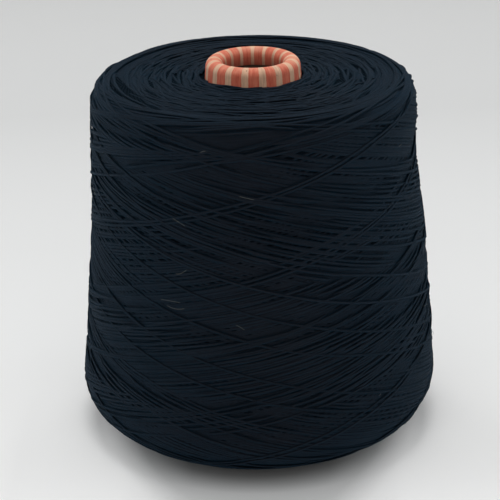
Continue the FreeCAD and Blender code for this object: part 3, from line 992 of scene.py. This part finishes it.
class YARN_OT_wind_tail(bpy.types.Operator):
    """Lays the first turns on the bare base of the cone"""
    bl_idname = "yarn.wind_tail"
    bl_label = "Wind the tail"

    def execute(self, context):
        thread = context.scene.yarn_thread
        low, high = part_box("tail_bunch")
        bottom, top = low.z / MM + TAIL_MARGINS[0], high.z / MM - TAIL_MARGINS[1]
        x = np.linspace(0.0, 1.0, TAIL_TURNS * TAIL_POINTS + 1)
        phi = x * TAIL_TURNS * FULL_TURN
        swing = 0.5 - 0.5 * np.cos(x * math.pi * 3.0)
        z = top + (bottom - top) * swing + 0.25 * np.sin(phi * 0.7 + 1.0)
        rest = eased(TAIL_LAYER * np.floor(x * 3.0), TAIL_POINTS // 3) + 0.12 * np.sin(phi * 2.3)
        r = wrap_radius(z) + thread.thickness / MM / 2.0 + 0.1 + rest
        tint = np.random.default_rng(thread.seed + 1).random()
        route = [(around(r, phi, z), around(1.0, phi, 0.0 * phi), tint, False)]
        thread_piece("tail_thread", route, context.scene, "tail_bunch", 9)
        return {"FINISHED"}


class YARN_OT_scatter_lint(bpy.types.Operator):
    """Scatters a few pale fibres over the yarn"""
    bl_idname = "yarn.scatter_lint"
    bl_label = "Scatter lint"

    def execute(self, context):
        lint, package = context.scene.yarn_lint, context.scene.yarn_package
        line = Outline(package)
        rng = np.random.default_rng(lint.seed)
        side = (line.length > line.end_of_face) & (line.length < line.end_of_side)
        heights, places = line.way[side, 1][::-1], line.length[side][::-1]
        strewn = [(rng.uniform(-180.0, 180.0), rng.uniform(25.0, 150.0), rng.uniform(0.15, 1.0) * 7.0,
                   rng.uniform(-30.0, 30.0)) for _ in range(lint.count)]
        route = []
        for turned, height, length, rise in LINT_AT_FRONT + tuple(strewn):
            x = np.linspace(-0.5, 0.5, 7)
            bow = rng.uniform(-0.12, 0.12) * length * (1.0 - 4.0 * x * x)
            z = height + x * length * math.sin(math.radians(rise)) + bow
            s = np.interp(z, heights, places)
            along = x * length * math.cos(math.radians(rise)) / line.radius(s)
            phi = math.radians(turned - 90.0) + along
            proud = lint.stand / MM * (1.0 - 1.6 * x * x)
            route.append((*on_package(package, line, phi, s, proud), rng.random(), False))
        piece = thread_object("lint_fibres", route, lint.width, lint.width * 0.8, 5, 0.5, lint.seed,
                              lint_material(lint.colour))
        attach(piece, BODY)
        return {"FINISHED"}


class YARN_OT_dress_cone(bpy.types.Operator):
    """Gives the board cone and its printed paper their finishes"""
    bl_idname = "yarn.dress_cone"
    bl_label = "Dress the cone"

    def execute(self, context):
        nose = context.scene.yarn_nose
        for node, material in (("striped_wrap", printed_material(nose)),
                               ("board_cone", board_material(nose))):
            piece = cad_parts[node]
            piece.data.materials.clear()
            piece.data.materials.append(material)
        return {"FINISHED"}


class YARN_OT_set_stage(bpy.types.Operator):
    """Makes the floor with its backdrop, the lamps and the camera"""
    bl_idname = "yarn.set_stage"
    bl_label = "Set the stage"

    def execute(self, context):
        scene = context.scene
        stage = scene.yarn_stage
        floor_piece(stage)
        for name, (share, size, place, target, colour) in LAMPS.items():
            lamp_at(name, stage.lamp * share, size, Vector(place), Vector(target), colour)
        world = bpy.data.worlds.new("Studio")
        world.use_nodes = True
        background = world.node_tree.nodes["Background"]
        background.inputs[0].default_value = (1.0, 1.0, 1.0, 1.0)
        background.inputs[1].default_value = stage.sky
        scene.world = world
        place_camera(scene, stage)
        scene.view_settings.view_transform = "Standard"
        return {"FINISHED"}


def floor_piece(stage):
    """A floor that sweeps up into the backdrop behind the object."""
    back, front, wide, tall, bend = 1.6, -5.0, 6.0, 4.0, 0.5
    section = [(front, 0.0), (back - bend, 0.0)]
    for k in range(1, 17):
        turn = math.pi / 2.0 * k / 16.0
        section.append((back - bend + bend * math.sin(turn), bend - bend * math.cos(turn)))
    section.append((back, tall))
    points = [(x, y, z) for x in (-wide, wide) for y, z in section]
    count = len(section)
    faces = [(k, k + count, k + count + 1, k + 1) for k in range(count - 1)]
    floor = mesh_object("floor", points, faces, floor_material(stage.floor))


def floor_material(colour):
    """Pale paper with painted light and shade: brightest in front, darker behind and under the cone, glowing
    beside it.
    """
    material, nodes, shader = blank_material("Pale paper floor")
    place = nodes.here()
    across, depth, _ = nodes.parts(place)
    away = nodes.size(place)
    aside = nodes.math("ABSOLUTE", across)
    # Painted light and shade: the floor's colour is brighter towards the front, and darker behind and up the
    # backdrop
    near = nodes.span(depth, -0.12, 0.20, 1.0, 0.0)
    far = nodes.span(depth, 0.20, 0.45)
    # Painted shadow: the floor is darkened close to the cone, near its middle
    painted_contact_shadow = nodes.times(nodes.span(away, 0.066, 0.081, 0.50, 0.0), nodes.span(aside, 0.030, 0.055, 1.0, 0.0))
    painted_light_and_shade_tone = nodes.shades(near, colour, 0.91, 1.19)
    painted_light_and_shade_tone = nodes.mix(painted_contact_shadow, nodes.mix(far, painted_light_and_shade_tone, rgba(colour, 0.755)), BLACK)
    # Painted light: beside the cone the floor glows for the camera, which narrows its shadow there
    beside = nodes.times(nodes.span(nodes.plus(aside, away), 0.120, 0.145),
                         nodes.span(aside, 0.062, 0.108, 1.0, 0.0))
    beside = nodes.times(beside, nodes.span(depth, -0.03, 0.03, 1.0, 0.0))
    seen = nodes.add("ShaderNodeLightPath").outputs["Is Camera Ray"]
    painted_glow = nodes.mix(nodes.times(beside, seen), BLACK, (0.19, 0.19, 0.19, 1.0))
    fleck = nodes.noise(place, 2.0, 2.0)
    nodes.give(shader, Base_Color=nodes.mix(fleck, nodes.mix(0.03, painted_light_and_shade_tone, BLACK), painted_light_and_shade_tone),
               Emission_Color=painted_glow, Emission_Strength=1.0, Roughness=0.9, Specular_IOR_Level=0.1)
    return material


def lamp_at(name, power, size, place, target, colour):
    data = bpy.data.lights.new(name, "AREA")
    data.shape = "RECTANGLE"
    data.size, data.size_y = size
    data.energy = power
    data.color = colour
    lamp = bpy.data.objects.new(name, data)
    lamp.location = place
    lamp.rotation_euler = (target - place).to_track_quat("-Z", "Y").to_euler()
    bpy.context.scene.collection.objects.link(lamp)


def place_camera(scene, stage):
    data = bpy.data.cameras.new("camera")
    data.lens = stage.lens
    data.sensor_width = 36.0
    data.clip_start, data.clip_end = 0.01, 20.0
    camera = bpy.data.objects.new("camera", data)
    tilt = stage.elevation
    back = Vector((0.0, -math.cos(tilt), math.sin(tilt)))
    turn = (-back).to_track_quat("-Z", "Y").to_matrix() @ Matrix.Rotation(stage.roll, 3, "Z")
    camera.location = Vector(stage.aim) + back * stage.distance
    camera.rotation_euler = turn.to_euler()
    scene.collection.objects.link(camera)
    scene.camera = camera


class YARN_PT_panel(bpy.types.Panel):
    """Lists the steps that dress the cone of yarn"""
    bl_label = "Cone of yarn"
    bl_space_type = "VIEW_3D"
    bl_region_type = "UI"
    bl_category = "Yarn"

    def draw(self, context):
        for settings in (getattr(context.scene, name) for name in SETTINGS):
            box = self.layout.box()
            for name in settings.bl_rna.properties.keys():
                if name not in ("rna_type", "name"):
                    box.prop(settings, name)
        for step in STEPS:
            self.layout.operator(step.bl_idname)


TREES = {"Spun fibres": spun_fibres, "Paper fibres": paper_fibres, "Handling wear": handling_wear,
         "Laid thread": thread_tree}
SETTINGS = {"yarn_package": PackageSettings, "yarn_thread": ThreadSettings, "yarn_lint": LintSettings,
            "yarn_nose": NoseSettings, "yarn_stage": StageSettings}
STEPS = (YARN_OT_set_stage, YARN_OT_dress_cone, YARN_OT_fill_package, YARN_OT_wind_package,
         YARN_OT_wind_tail, YARN_OT_scatter_lint)


def register():
    for kind in (*SETTINGS.values(), *STEPS, YARN_PT_panel):
        bpy.utils.register_class(kind)
    for name, kind in SETTINGS.items():
        setattr(bpy.types.Scene, name, PointerProperty(type=kind))


def unregister():
    for name in SETTINGS:
        delattr(bpy.types.Scene, name)
    for kind in (YARN_PT_panel, *reversed(STEPS), *reversed(list(SETTINGS.values()))):
        bpy.utils.unregister_class(kind)


def main():
    register()
    bpy.ops.yarn.set_stage()
    bpy.ops.yarn.dress_cone()
    bpy.ops.yarn.fill_package()
    bpy.ops.yarn.wind_package()
    bpy.ops.yarn.wind_tail()
    bpy.ops.yarn.scatter_lint()


if __name__ == "__main__":
    main()
